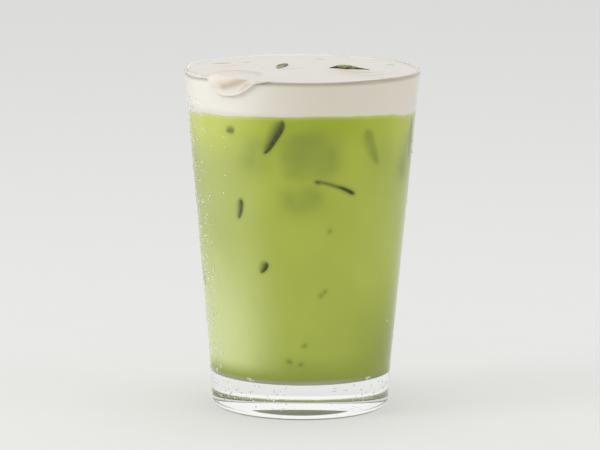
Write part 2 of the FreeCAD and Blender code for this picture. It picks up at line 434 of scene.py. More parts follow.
def sheet(top, bottom):
    """Points and faces of a closed sheet between two grids of points of the same size."""
    rows, columns = top.shape[:2]
    half = rows * columns
    grid = np.arange(half).reshape(rows, columns)
    corners = [grid[:-1, :-1], grid[:-1, 1:], grid[1:, 1:], grid[1:, :-1]]
    quads = np.stack(corners, axis=-1).reshape(-1, 4)
    here = np.concatenate([grid[0, :-1], grid[:-1, -1], grid[-1, :0:-1], grid[:0:-1, 0]])
    there = np.roll(here, -1)
    border = np.stack([there, here, here + half, there + half], axis=-1)
    points = np.concatenate([top.reshape(-1, 3), bottom.reshape(-1, 3)]).tolist()
    return points, np.concatenate([quads, quads[:, ::-1] + half, border]).tolist()


def joined(parts):
    """Several (points, faces) as one."""
    points, faces = [], []
    for more_points, more_faces in parts:
        start = len(points)
        points.extend(more_points)
        faces.extend(tuple(start + corner for corner in face) for face in more_faces)
    return points, faces


def arc(centre, radius, start, end, steps):
    """Points on an arc in the plane of radius and height, from one angle in degrees to another."""
    turns = [math.radians(start + (end - start) * step / steps) for step in range(steps + 1)]
    return [(centre[0] + radius * math.cos(t), centre[1] + radius * math.sin(t)) for t in turns]


def spread(start, end, step):
    """Evenly spread numbers from start to end, about a step apart, with both ends."""
    return np.linspace(start, end, max(2, round(abs(end - start) / step) + 1))


def softened(read, at, reach, steps=7):
    """What read gives at a place, averaged over places up to reach to each side of it."""
    return np.mean([read(at + offset) for offset in np.linspace(-reach, reach, steps)], axis=0)


def bell(distance, width):
    return np.exp(-((distance / width) ** 2))


def smooth_step(value):
    """0 up to 0, 1 from 1 on, and smooth in between."""
    value = np.clip(value, 0, 1)
    return value * value * (3 - 2 * value)


def turn_from(heading, middle):
    """How far a direction lies from the middle one, in degrees, from -180 to 180."""
    return (heading - middle + 180) % 360 - 180


# ---------------------------------------------------------------- the glass


class Wall:
    """The tumbler's wall: its radius outside and inside at any height."""

    def __init__(self, sizes):
        foot = sizes.foot_radius
        lip = GLASS_HIGH.x + sizes.lip_round * sizes.flare_out / sizes.flare_depth
        flare = lip - sizes.flare_out
        flare_level = LIP_LEVEL - sizes.flare_depth
        self.sizes = sizes
        self.outer = (
            [0, sizes.shoulder_height, flare_level, LIP_LEVEL],
            [foot, foot + sizes.shoulder_out, flare, lip],
        )
        self.inner = (
            [FLOOR_LEVEL, flare_level, LIP_LEVEL],
            [foot - sizes.foot_wall, flare - sizes.wall, lip - sizes.lip_width],
        )

    def radius(self, line, height):
        """The line's radius, with its corners blended and its end slopes carried straight on."""
        levels, radii = (np.array(numbers) for numbers in line)
        slopes = np.diff(radii) / np.diff(levels)
        levels = np.array([levels[0] - 1, *levels[1:-1], levels[-1] + 1])
        radii = np.array([radii[0] - slopes[0], *radii[1:-1], radii[-1] + slopes[-1]])
        height = np.asarray(height, float)
        reach = self.sizes.blend / 2
        return softened(lambda place: np.interp(place, levels, radii), height, reach, 9)

    def outside(self, height):
        return self.radius(self.outer, height)

    def inside(self, height):
        return self.radius(self.inner, height)


def glass_outline(wall):
    """The tumbler's section, from the middle of its underside to the middle of its floor."""
    sizes = wall.sizes
    wall_step, floor_step, foot_step = 1.6 * MM, 1.5 * MM, 0.6 * MM
    outline = []
    for radius in spread(0, sizes.punt_radius, 1.0 * MM):
        outline.append((radius, sizes.punt_height * (1 - (radius / sizes.punt_radius) ** 2)))
    corner = sizes.foot_corner
    corner_radius = float(wall.outside(corner)) - corner
    flat = spread(sizes.punt_radius, corner_radius, foot_step)[1:-1]
    outline += [(radius, 0.0) for radius in flat]
    outline += arc((corner_radius, corner), corner, -90, 0, 10)
    lip_start = LIP_LEVEL - sizes.lip_round
    for height in spread(corner, lip_start, wall_step)[1:]:
        outline.append((float(wall.outside(height)), height))
    outer, inner = float(wall.outside(lip_start)), float(wall.inside(lip_start))
    middle, half = (outer + inner) / 2, (outer - inner) / 2
    for turn in np.linspace(0, math.pi, 13)[1:]:
        rise = sizes.lip_round * math.sin(turn)
        outline.append((middle + half * math.cos(turn), lip_start + rise))
    floor_turn = FLOOR_LEVEL + sizes.floor_corner
    for height in spread(lip_start, floor_turn, wall_step)[1:]:
        outline.append((float(wall.inside(height)), height))
    centre = (float(wall.inside(floor_turn)) - sizes.floor_corner, floor_turn)
    outline += arc(centre, sizes.floor_corner, 0, -90, 10)[1:]
    outline += [(radius, FLOOR_LEVEL) for radius in spread(centre[0], 0, floor_step)[1:]]
    return outline


class LATTE_OT_glass(bpy.types.Operator):
    """Build the clear tumbler"""

    bl_idname = "latte.glass"
    bl_label = "Tumbler"

    def execute(self, context):
        sizes = context.scene.latte.glass
        wall = Wall(sizes)
        material = clear_material("clear_glass", sizes.tint, sizes.ior, sizes.shine)
        points, faces = turned(glass_outline(wall), sizes.segments)
        mesh_piece("clear_tumbler", points, faces, "glass", material, "tumbler")
        return {"FINISHED"}


# ---------------------------------------------------------------- ice and leaf in the milk

# Ice cubes near the wall: direction in degrees, height, edge, then turn, lean and roll in
# degrees, and how far the cube is pressed against the wall. Lengths are in millimetres.
ICE_CUBES = [
    (-86.5, 102, 22, 4, 10, 12, 0.5),
    (-90, 86, 14, -12, -10, 30, -0.6),
    (-113, 102, 18, 14, 6, -14, -1.7),
    (-46, 103, 20, -10, 4, 12, -3.2),
    (-10, 99, 24, 6, 6, -8, -0.3),
    (26, 98, 24, 12, -5, 10, 0.1),
    (64, 103, 20, -8, 8, -14, -0.3),
    (100, 97, 25, 5, 4, 8, 0.4),
    (139, 102, 22, -12, -6, 12, -0.2),
    (172, 96, 24, 8, 5, -6, -0.8),
]

# How far the cubes stay under the milk's surface, the rounding of their corners as a share of
# their edge, and their clear and frosted colours as seen on screen.
ICE_DEPTH = 0.5 * MM
ICE_ROUNDING = 0.34
ICE_TONES = ((118, 131, 58), (134, 147, 72))

# Thickness of a shred of leaf in millimetres, and how much of its height its sides lose.
SHRED_THICK = 0.22
SHRED_DOME = 0.72

# Shreds of leaf in the milk: direction in degrees, height, length, width, lean from upright in
# degrees, bend, how far its middle stands proud of the milk and how much deeper its left edge
# lies. Lengths are in millimetres.
SHREDS = [
    (-104.9, 108.2, 14.0, 3.8, 29, -0.1, 0.24, 0.6),
    (-71.0, 89.0, 14.8, 0.5, 111, -0.6, -0.04, 0.0),
    (-65.2, 88.0, 7.2, 1.0, 116, -0.1, 0.08, 0.0),
    (-81.3, 91.4, 1.9, 0.9, 104, 0.0, -0.03, 0.0),
    (-126.3, 80.2, 7.2, 1.8, 10, 0.3, 0.16, 0.3),
    (-112.4, 58.6, 4.2, 2.3, 28, 0.1, 0.16, 0.4),
    (-172.0, 51.0, 7.5, 1.3, -22, 0.3, 0.08, 0.2),
    (-129.8, 109.7, 3.0, 1.8, 80, 0.0, -0.02, 0.2),
    (-50.8, 103.8, 13.5, 3.6, -25, -0.5, -0.26, 0.2),
    (-14.5, 104.0, 15.0, 2.2, -3, 0.2, 0.04, 0.6),
    (-5.6, 83.1, 4.0, 1.6, 8, 0.0, 0.06, 0.3),
    (-75.6, 49.6, 1.0, 0.6, 40, 0.0, -0.28, 0.0),
    (-77.9, 48.2, 0.9, 0.5, -30, 0.0, -0.28, 0.0),
    (-73.8, 72.8, 0.8, 0.5, 10, 0.0, -0.28, 0.0),
    (-87.5, 29.0, 1.2, 0.6, 60, 0.0, -0.28, 0.0),
    (-97.1, 22.8, 1.3, 0.7, -60, 0.0, -0.25, 0.0),
    (-89.6, 21.9, 0.9, 0.5, 80, 0.0, -0.28, 0.0),
    (22.0, 92.0, 12.0, 1.6, -38, 0.8, 0.10, 0.3),
    (48.0, 64.0, 6.0, 1.8, 20, 0.4, 0.06, 0.4),
    (71.0, 107.0, 11.0, 2.2, 62, 0.4, 0.08, 0.6),
    (96.0, 75.0, 15.0, 1.2, 118, 1.2, 0.10, 0.0),
    (118.0, 44.0, 4.0, 1.9, -15, 0.2, 0.06, 0.3),
    (134.0, 99.0, 9.0, 2.0, 28, 0.3, 0.02, 0.6),
    (158.0, 70.0, 6.5, 1.6, -50, 0.5, 0.08, 0.2),
]


def ice_cube(wall, bite, direction, level, edge, turn, lean, roll, pressed):
    """Points and faces of one rounded ice cube, melted to the wall's curve where it meets it."""
    work = bmesh.new()
    bmesh.ops.create_cube(work, size=edge * MM)
    rounding = edge * MM * ICE_ROUNDING
    bmesh.ops.bevel(
        work, geom=work.edges, offset=rounding, segments=6, profile=0.5, affect="EDGES"
    )
    bmesh.ops.subdivide_edges(work, edges=work.edges, cuts=3, use_grid_fill=True)
    reach = float(wall.inside(level * MM)) + bite + (pressed - edge / 2) * MM
    heading = math.radians(direction)
    stance = Matrix.Translation(polar(reach, heading, level * MM))
    for tilt, axis in ((direction + turn, "Z"), (lean, "Y"), (roll, "X")):
        stance = stance @ Matrix.Rotation(math.radians(tilt), 4, axis)
    bmesh.ops.transform(work, matrix=stance, verts=work.verts)
    for vertex in work.verts:
        radius = math.hypot(vertex.co.x, vertex.co.y)
        limit = float(wall.inside(vertex.co.z)) + bite - ICE_DEPTH
        if radius > limit:
            vertex.co.x *= limit / radius
            vertex.co.y *= limit / radius
    points = [tuple(vertex.co) for vertex in work.verts]
    faces = [tuple(vertex.index for vertex in face.verts) for face in work.faces]
    work.free()
    return points, faces


def leaf_shred(wall, bite, direction, level, long, wide, lean, bend, proud, tuck):
    """Points and faces of one thin shred of leaf that lies along the wall, blunt at its ends,
    domed across and wider towards its top."""
    along = np.linspace(-1, 1, 17)[:, None]
    across = np.linspace(-1, 1, 7)[None, :]
    taper = np.sqrt(np.clip(1 - np.abs(along) ** 3.2, 0.02, 1)) * (1 + 0.3 * along)
    side = across * taper * wide / 2 + bend * (1 - along**2)
    run = along * long / 2 + 0 * across
    heading = math.radians(lean)
    sideways = side * math.cos(heading) + run * math.sin(heading)
    height = (level + run * math.cos(heading) - side * math.sin(heading)) * MM
    radius = wall.inside(height) + bite
    turn = math.radians(direction) + sideways * MM / radius
    depth = proud - SHRED_DOME * abs(proud) * across**2 - tuck * (1 - across) / 2
    layers = [polar(radius + (depth - under) * MM, turn, height) for under in (0, SHRED_THICK)]
    return sheet(*layers)


def ice_material():
    shader = Shader("wet_ice")
    frost = shader.cloud(shader.place(), 5 * MM, detail=3)
    clear, frosted = ([linear(channel) for channel in seen] for seen in ICE_TONES)
    return shader.finished(shader.surface(shader.mixed(frost, clear, frosted), 0.35, 0.1))


def shred_material(leaf):
    shader = Shader("leaf_in_milk")
    patch = shader.cloud(shader.place(), 1.6 * MM, detail=3).between(0.35, 0.75)
    return shader.finished(shader.surface(shader.mixed(patch, leaf.soaked, leaf.drab), 0.6, 0.1))


class LATTE_OT_ice(bpy.types.Operator):
    """Build the ice cubes that float against the wall"""

    bl_idname = "latte.ice"
    bl_label = "Ice cubes"

    def execute(self, context):
        latte = context.scene.latte
        wall = Wall(latte.glass)
        parts = [ice_cube(wall, latte.milk.bite, *cube) for cube in ICE_CUBES]
        points, faces = joined(parts)
        mesh_piece("ice_cubes", points, faces, "matcha", ice_material())
        return {"FINISHED"}


class LATTE_OT_shreds(bpy.types.Operator):
    """Build the shreds of leaf that lie against the wall in the milk"""

    bl_idname = "latte.shreds"
    bl_label = "Leaf in the milk"

    def execute(self, context):
        latte = context.scene.latte
        wall = Wall(latte.glass)
        parts = [leaf_shred(wall, latte.milk.bite, *shred) for shred in SHREDS]
        points, faces = joined(parts)
        mesh_piece("leaf_shreds", points, faces, "leaf", shred_material(latte.leaf))
        return {"FINISHED"}


# ---------------------------------------------------------------- the milk

# The milk's radius as its material takes it: at the level of the table, and its growth upwards.
MILK_FOOT = 29.8 * MM
MILK_SLOPE = 0.0986


def milk_rows(wall, milk):
    """Rows of the milk, from the middle of the floor to the middle of its hidden top."""
    floor = FLOOR_LEVEL - milk.bite
    corner = wall.sizes.floor_corner
    turn_level = FLOOR_LEVEL + corner
    centre = (float(wall.inside(turn_level)) - corner, turn_level)
    top = MILK_LEVEL + milk.cover
    rows = [(radius, floor) for radius in spread(0, centre[0], 3 * MM)[:-1]]
    rows += arc(centre, corner + milk.bite, -90, 0, 8)
    for height in spread(turn_level, top, milk.step)[1:]:
        rows.append((float(wall.inside(height)) + milk.bite, height))
    rim = rows[-1][0]
    return rows + [(rim * share, top) for share in (0.75, 0.4, 0.0)]


def closeness(points, name, reach):
    """How near each point is to a piece: 1 at its surface, fading with depth."""
    mesh = bpy.data.objects[name].data
    corners = [vertex.co for vertex in mesh.vertices]
    tree = BVHTree.FromPolygons(corners, [tuple(face.vertices) for face in mesh.polygons])
    shares = []
    for point in points:
        found = tree.find_nearest(point, reach * 5)[3]
        shares.append(0.0 if found is None else math.exp(-found / reach))
    return shares


def milk_material(milk):
    """Opaque green milk: its tone changes with height, in soft clouds, and near ice and leaf, with
    painted light towards its sides and painted shade low down at the right.
    """
    shader = Shader("green_milk")
    place = shader.place()
    across, _, height = shader.axes(place)
    floor_shade, corner = FLOOR_LEVEL + 2.4 * MM, FLOOR_LEVEL + 1 * MM
    third, half = FLOOR_LEVEL + 14 * MM, FLOOR_LEVEL + 45 * MM
    tone = shader.layered(
        milk.at_floor,
        (height.between(corner, third), milk.low),
        (height.between(third, half), milk.middle),
        (height.between(half, MILK_LEVEL - 14 * MM), milk.high),
        (height.between(MILK_LEVEL - 14 * MM, MILK_LEVEL - 1 * MM), milk.at_cream),
    )
    tone = shader.mixed(height.between(FLOOR_LEVEL, floor_shade), milk.under, tone)
    # -1 at the left edge of the milk and 1 at the right, as its radius grows with height
    sideways = across / (height * MILK_SLOPE + MILK_FOOT)
    # Painted light: these masks lighten the milk towards both sides, most at the left, where the
    # lamps and their reflections in the glass fall. Low down at the right, the right mask darkens it
    # instead, as painted shade.
    left = (sideways * -1).between(0.05, 0.95) * height.between(15 * MM, 22 * MM)
    right = sideways.between(0.35, 1.0)
    pale = shader.layered(
        milk.painted_light_low_left,
        (height.between(30 * MM, 75 * MM), milk.painted_light_sides),
        (height.between(92 * MM, 112 * MM), milk.painted_light_high),
    )
    patches = shader.cloud(place, 12 * MM, detail=3).between(0.25, 0.75)
    tone = shader.layered(
        tone,
        ((left + right * height.between(45 * MM, 85 * MM) * 0.5).clamped(), pale),
        # Painted shade: darker low down at the right.
        (right * (1 - height.between(20 * MM, 60 * MM)), milk.painted_shade_low_right),
        ((shader.attribute("ice_near") * (0.45 + patches * 0.5)).clamped(), milk.by_ice),
        (shader.attribute("leaf_near"), milk.by_leaf),
        (shader.attribute("cream_near") * 0.55, milk.by_cream),
    )
    clouds = shader.cloud(place, 16 * MM, detail=4, stretch=(1, 1, 0.7))
    tone = shader.shaded(tone, 0.90 + clouds * 0.2)
    return shader.finished(shader.surface(tone, 0.5, 0.05, IOR=1.35))


class LATTE_OT_milk(bpy.types.Operator):
    """Build the green milk, shaded by the ice and leaf that lie just under its surface"""

    bl_idname = "latte.milk"
    bl_label = "Green milk"

    def execute(self, context):
        latte = context.scene.latte
        milk = latte.milk
        points, faces = turned(milk_rows(Wall(latte.glass), milk), milk.segments)
        material = milk_material(milk)
        piece = mesh_piece("green_milk", points, faces, "matcha", material, "matcha_milk")
        places = [vertex.co.copy() for vertex in piece.data.vertices]
        give(piece, "ice_near", closeness(places, "ice_cubes", milk.ice_reach))
        give(piece, "leaf_near", closeness(places, "leaf_shreds", milk.leaf_reach))
        x, y, height = np.array(places).T
        edge = cream_edge(latte.cream, np.arctan2(y, x))
        give(piece, "cream_near", np.exp(-np.abs(edge - height) / milk.fringe))
        return {"FINISHED"}


# ---------------------------------------------------------------- the cream


# How far the cream's lower edge lies above the milk's level around the glass: direction in
# degrees and height in millimetres.
CREAM_EDGE = [
    (-192, -1.3), (-168, -1.9), (-154, -1.0), (-145, -0.6), (-132, -0.8), (-122, -0.2),
    (-108, 0.4), (-97, 0.6), (-88, 0.65), (-80, 0.95), (-71, 0.7), (-62, 0.5), (-50, 0.3),
    (-41, -0.1), (-33, -0.6), (-24, -1.9), (-9, -1.3), (20, -0.4), (45, 0.5), (70, -0.1),
    (95, 0.6), (130, -0.5), (168, -1.3),
]

# Small ripples in the cream's top: centre x and y, radius, the middle direction and half-width of
# the arc in degrees, width and height. Lengths are in millimetres.
RIPPLES = [
    (16.0, -3.5, 6.6, -88, 55, 0.7, 0.30),
    (16.5, -3.5, 9.8, -82, 50, 0.8, 0.42),
    (17.5, -4.0, 13.0, -74, 42, 0.9, 0.45),
    (18.5, -5.0, 17.0, -66, 34, 1.1, 0.35),
    (24.0, -6.0, 21.0, -62, 26, 1.4, 0.30),
    (-7.0, -1.0, 7.0, -70, 50, 0.7, 0.28),
    (-30.0, 10.0, 6.5, -70, 60, 1.2, 0.25),
    (-26.0, -20.0, 9.0, 70, 60, 1.8, 0.35),
    (-24.0, -24.0, 8.0, 40, 50, 1.4, 0.30),
]

# Where the rim is lowest, in degrees from the run-over, and how far the low place spreads.
SLUMP_ASIDE = -36
SLUMP_SPREAD = 19


def cream_edge(cream, turn):
    """Height of the cream's lower edge around the glass, with small waves."""
    degrees, heights = np.array(CREAM_EDGE).T
    heading = np.degrees(turn)
    edge = softened(lambda place: np.interp(place, degrees, heights, period=360), heading, 4)
    waves = [noise.noise(Vector((math.cos(t) * 9, math.sin(t) * 9, 3.0))) for t in turn]
    return MILK_LEVEL + edge * MM + cream.wave * np.array(waves)


def ripples(x, y):
    """Height of the ripples in the cream's top, in millimetres."""
    height = 0 * x
    for centre_x, centre_y, radius, heading, half, width, tall in RIPPLES:
        off_x, off_y = x / MM - centre_x, y / MM - centre_y
        turn = np.degrees(np.arctan2(off_y, off_x))
        wander = 0.5 * np.sin(np.radians(turn * 5) + radius)
        ring = bell(np.hypot(off_x, off_y) - radius + wander, width)
        height = height + tall * ring * bell(turn_from(turn, heading), half)
    return height


def low_edge(cream, turn):
    """How much lower the cream meets the glass beside the place where it has run over."""
    away = turn_from(np.degrees(turn), cream.run_turn + SLUMP_ASIDE)
    return cream.slump * bell(away, SLUMP_SPREAD)


def cream_top(cream, x, y):
    """Height of the cream's top: a shallow crown with soft unevenness, and ripples by the
    leaves and the place where it has run over."""
    share = np.clip(np.hypot(x, y) / GLASS_HIGH.x, 0, 1)
    crown = LIP_LEVEL - cream.dip + (cream.dip + cream.rise) * (1 - share**2)
    crown = crown - low_edge(cream, np.arctan2(y, x)) * smooth_step((share - 0.78) / 0.15)
    points = np.stack([x, y, 0 * x], axis=-1).reshape(-1, 3) / (11 * MM)
    soft = np.array([noise.noise(Vector(point)) for point in points]).reshape(x.shape)
    fine = np.array([noise.noise(Vector(point * 3.1)) for point in points]).reshape(x.shape)
    relief = cream.relief * (soft + 0.3 * fine) + ripples(x, y) * MM
    quiet_rim = np.clip((0.97 - share) * 9, 0, 1)
    return crown + quiet_rim * relief


def cream_rows(wall, cream):
    """Rows of the cream, from the middle of its hidden underside up the wall and over its top."""
    turn = np.arange(cream.segments) * FULL_TURN / cream.segments
    edge = cream_edge(cream, turn)
    under = MILK_LEVEL + 1.5 * MM
    rows = [(0.0, under), (0.9 * wall.inside(edge), under)]
    rows.append((wall.inside(edge) + cream.bite * 0.2, edge + 0.02 * MM))
    top_edge = LIP_LEVEL - cream.dip - low_edge(cream, turn)
    for share in np.linspace(0, 1, 22)[:-1]:
        height = edge + (top_edge - edge) * share
        rows.append((wall.inside(height) + cream.bite, height))
    rim = wall.inside(top_edge) + cream.bite
    for step in range(cream.rings):
        radius = rim * (1 - step / cream.rings)
        rows.append((radius, cream_top(cream, radius * np.cos(turn), radius * np.sin(turn))))
    middle = cream_top(cream, np.zeros(1), np.zeros(1))
    return rows + [(0.0, float(middle[0]))]


# The way from the cream's top over the lip and down the wall: distance along it from the top of
# the lip, radius and height below the lip, in millimetres.
LIP_WAY = [
    (-6.0, 37.8, 0.36), (-2.4, 41.3, 0.56), (-1.3, 42.4, 0.58), (-0.6, 43.0, 0.2),
    (0.0, 43.65, 0.0), (0.5, 44.15, 0.12), (1.0, 44.5, 0.8),
]
WAY_START = LIP_WAY[0][0] * MM

# The lower edge of the cream that has run over: distance along the rim and how far down it
# hangs, in millimetres.
RUN_EDGE = [
    (-13.8, 0.3), (-12.6, 2.2), (-11.6, 4.2), (-10.0, 5.4), (-8.0, 6.1), (-5.5, 6.5), (-3.0, 6.5),
    (0.0, 6.1), (3.0, 5.2), (5.5, 3.8), (7.5, 2.2), (9.0, 1.2), (13.8, 0.3),
]
RUN_SPAN = (RUN_EDGE[0][0] * MM, RUN_EDGE[-1][0] * MM)

# Its slanting hollow and the crest beside it: start and end, each as how far along and down,
# and width. Past RUN_RIGHT it thins out along the rim. All are in millimetres.
RUN_HOLLOW = ((-4.2, 3.4), (5.0, 0.2), 1.5)
RUN_CREST = ((2.6, 4.2), (7.0, 0.6), 0.55)
RUN_RIGHT = 7.5

# The small smear of cream over the lip at the back: its direction in degrees and its reach.
SMEAR_HEADING = 69.8
SMEAR_REACH = 3.4 * MM


def over_lip(wall, way):
    """Radius and height at a distance along the way over the lip, with its corners smoothed."""
    places, radii, depths = np.array(LIP_WAY).T * MM

    def at(here):
        past = np.maximum(here - places[-1], 0)
        height = LIP_LEVEL - np.interp(here, places, depths) - past
        radius = np.where(past > 0, wall.outside(height), np.interp(here, places, radii))
        return np.array([radius, height])

    return softened(at, way, 0.45 * MM)


def lip_sheet(wall, heading, span, drops, thickness, columns, rows):
    """A closed sheet of cream over the lip: its points and faces, and for each point how far
    along the rim and down the way it lies, in millimetres, and how far it is over the lip, from 0
    to 1. Its columns spread along the rim over the span; drops gives how far down each hangs, and
    thickness its height at (along, down)."""
    along = np.linspace(*span, columns)
    share = np.linspace(0, 1, rows)[:, None]
    reach = drops(along) + 0.2 * MM - WAY_START
    way = WAY_START + reach * share
    radius, height = over_lip(wall, way)
    ahead = over_lip(wall, way + 0.05 * MM)
    step_out, step_up = ahead[0] - radius, ahead[1] - height
    step = np.hypot(step_out, step_up)
    round_end = smooth_step(reach * (1 - share) / (3.2 * MM))
    flat_start = smooth_step((way - WAY_START) / (4.2 * MM))
    sides = np.clip(np.minimum(along - span[0], span[1] - along) / (1.4 * MM), 0, 1)
    body = thickness(along + 0 * way, way) * round_end * np.sqrt(1 - (1 - sides) ** 2)
    body = body * flat_start - 0.03 * MM
    turn = math.radians(heading) + along / GLASS_HIGH.x + 0 * way
    layers = []
    for proud in (body, 0 * body - 0.12 * MM):
        layers.append(polar(radius - proud * step_up / step, turn, height + proud * step_out / step))
    points, faces = sheet(*layers)
    x, y = (along + 0 * way) / MM, way / MM
    over = smooth_step((y + 1.6) / 2.2) * (1 - 0.9 * smooth_step((y - 3) / 3))
    return points, faces, *(np.tile(values.ravel(), 2) for values in (x, y, over))


def run_drop(along):
    places, depths = np.array(RUN_EDGE).T * MM
    return softened(lambda place: np.interp(place, places, depths), along, 0.9 * MM)


def band(x, y, start, end, width):
    """1 on the line from start to end, and 0 away from it."""
    line = np.array(end) - np.array(start)
    share = ((x - start[0]) * line[0] + (y - start[1]) * line[1]) / (line @ line)
    share = np.clip(share, 0, 1)
    return bell(np.hypot(x - start[0] - share * line[0], y - start[1] - share * line[1]), width)


def run_thickness(along, down):
    """A bright bulge at the left, a slanting hollow, a thin crest beside it and a thin skirt."""
    x, y = along / MM, down / MM
    body = 0.6 + bell(x + 8.3, 3.0) * bell(y - 1.6, 2.4) - 0.46 * smooth_step((y - 2.8) / 2.4)
    body = body - 0.36 * band(x, y, *RUN_HOLLOW) + 0.34 * band(x, y, *RUN_CREST)
    return np.maximum(body - 0.35 * smooth_step((x - RUN_RIGHT) / 4), 0.06) * MM


def smear_drop(along):
    return 1.3 * MM * np.sqrt(np.clip(1 - (along / SMEAR_REACH) ** 2, 0.01, 1))


def smear_thickness(along, down):
    return (0.2 + 0.5 * bell(along / MM - 0.4, 1.3)) * MM + 0 * down


def cream_material(cream):
    """Soft cream, cooler above the milk, with tiny pores. Painted light whitens its side at the
    left, and painted shade darkens a warmer band up the wall under the lip, the hollow of the
    run-over and its ripples.
    """
    shader = Shader("whipped_cream")
    place = shader.place()
    sideways, _, height = shader.axes(place)
    above = shader.attribute("above_rim")
    # Painted light: the side is whiter towards the left.
    side = shader.mixed((sideways * -1).between(-2 * MM, 27 * MM), cream.side, cream.painted_light_left)
    tone = shader.layered(
        cream.edge,
        (height.between(MILK_LEVEL, MILK_LEVEL + 2.4 * MM), side),
        # Painted shade: the darker rim band just under the lip.
        (above.between(-1.5, 0.1), cream.rim),
        (above.between(-0.1, 0.08), cream.top),
    )
    tone = shader.shaded(tone, 0.965 + shader.cloud(place, 14 * MM, detail=3) * 0.07)
    blush = shader.cloud(place, 4 * MM, detail=3)
    # Painted shade: the run-over darkens in its hollow and past its crest.
    shade = shader.attribute("fold_shade_share") * (0.65 + blush * 0.6)
    run = shader.mixed(shade.clamped(), cream.run, cream.painted_fold_shade)
    tone = shader.layered(
        tone,
        (shader.attribute("run_over"), run),
        # Painted shade: darker along the ripples.
        (shader.attribute("ripple_shade_share").clamped(), cream.painted_ripple_shade),
    )
    pores = shader.bump(shader.cloud(place, 0.8 * MM, detail=2), 0.04 * MM)
    return shader.finished(shader.surface(tone, 0.45, 0.25, Normal=pores))


class LATTE_OT_cream(bpy.types.Operator):
    """Build the cap of cream in the mouth of the glass, with what has run over the lip"""

    bl_idname = "latte.cream"
    bl_label = "Cream"

    def execute(self, context):
        latte = context.scene.latte
        cream = latte.cream
        wall = Wall(latte.glass)
        cap_points, cap_faces = turned(cream_rows(wall, cream), cream.segments)
        run = lip_sheet(wall, cream.run_turn, RUN_SPAN, run_drop, run_thickness, 110, 56)
        smear_span = (-SMEAR_REACH, SMEAR_REACH)
        smear = lip_sheet(wall, SMEAR_HEADING, smear_span, smear_drop, smear_thickness, 44, 40)
        points, faces = joined([(cap_points, cap_faces), run[:2], smear[:2]])
        material = cream_material(cream)
        piece = mesh_piece("cream_layer", points, faces, "cream", material, "cream_cap")
        x, y, _ = np.array(cap_points).T
        cap, peak = 0 * x, np.zeros(len(smear[0]))
        above = (np.array(points)[:, 2] - LIP_LEVEL + cream.dip) / MM
        above[: len(cap)] += low_edge(cream, np.arctan2(y, x)) / MM
        # Painted shade: how strongly the ripples darken the top.
        rings = np.abs(ripples(x, y)) * (above[: len(cap)] > 0) * 2.4
        along, down, over = run[2:]
        # Painted shade: strongest along the slanting hollow, and half as strong past the right side,
        # where the run-over's shadow falls.
        painted_fold_shade = band(along, down, *RUN_HOLLOW) + 0.5 * smooth_step((along - RUN_RIGHT) / 3)
        give(piece, "above_rim", above)
        give(piece, "run_over", np.concatenate([cap, over, peak]))
        give(piece, "fold_shade_share", np.concatenate([cap, painted_fold_shade, peak]))
        give(piece, "ripple_shade_share", np.concatenate([rings, 0 * over, peak]))
        return {"FINISHED"}


# ---------------------------------------------------------------- leaf on the cream

# Slivers of leaf on the cream: name, the node each stands for, the points of its middle line,
# its width, lift above the cream and darkness at each point, its cup, and how pale the cream over
# it makes it, from 0 to 1. Lengths are in millimetres. The flecks have no name and no node.
LEAVES = [
    (
        "leaf_sliver_left", "leaf_left",
        [(-34.6, 12.7), (-32, 13.2), (-29.5, 13.9), (-26.4, 14.6)],
        [0.3, 1.5, 1.7, 0.3], [0.02, 0.10, 0.08, 0.0], [0.2, 0.2, 0.6, 0.2], 0.05, 0.8,
    ),
    (
        "leaf_sliver_middle", "leaf_middle",
        [(-9.4, -5.2), (-8.6, -1.6), (-7.4, 2.4), (-5.8, 7.4)],
        [0.9, 2.5, 2.9, 1.2], [0.12, 0.30, 0.42, 0.30], [-0.5, -0.2, 0.6, 1.0], 0.35, 0.25,
    ),
    (
        "leaf_sliver_right", "leaf_right",
        [(9.8, -3.4), (12.6, -2.2), (15.4, -1.4), (18.2, -2.2), (21.5, -3.9), (25.6, -5.0)],
        [0.1, 1.9, 6.2, 4.2, 1.5, 0.2], [0.05, 0.35, 0.55, 0.40, 0.16, 0.05],
        [1.2, 0.7, -0.1, 0.1, 0.7, 1.0], 0.5, 0.1,
    ),
]
FLECKS = [
    ([(31.9, 13.4), (33.6, 12.7), (35.3, 11.8)], [0.3, 1.0, 0.2], [0, 0.06, 0], [0, 0, 0], 0.02),
    ([(-22.6, 15.2), (-21, 15.6), (-19.4, 15.7)], [0.2, 0.5, 0.2], [0, 0.03, 0], [0, 0, 0], 0.02),
    ([(5.0, 27.0), (6.4, 27.6), (8.2, 27.8)], [0.2, 0.8, 0.2], [0, 0.05, 0], [0, 0, 0], 0.02),
]
FLECK_PALE = 0.5


def spaced(marks, share):
    """Values at shares from 0 to 1 along marks, with a smooth run between them."""
    at = np.linspace(0, 1, len(marks))
    return softened(lambda place: np.interp(place, at, marks), share, 0.4 / len(marks))


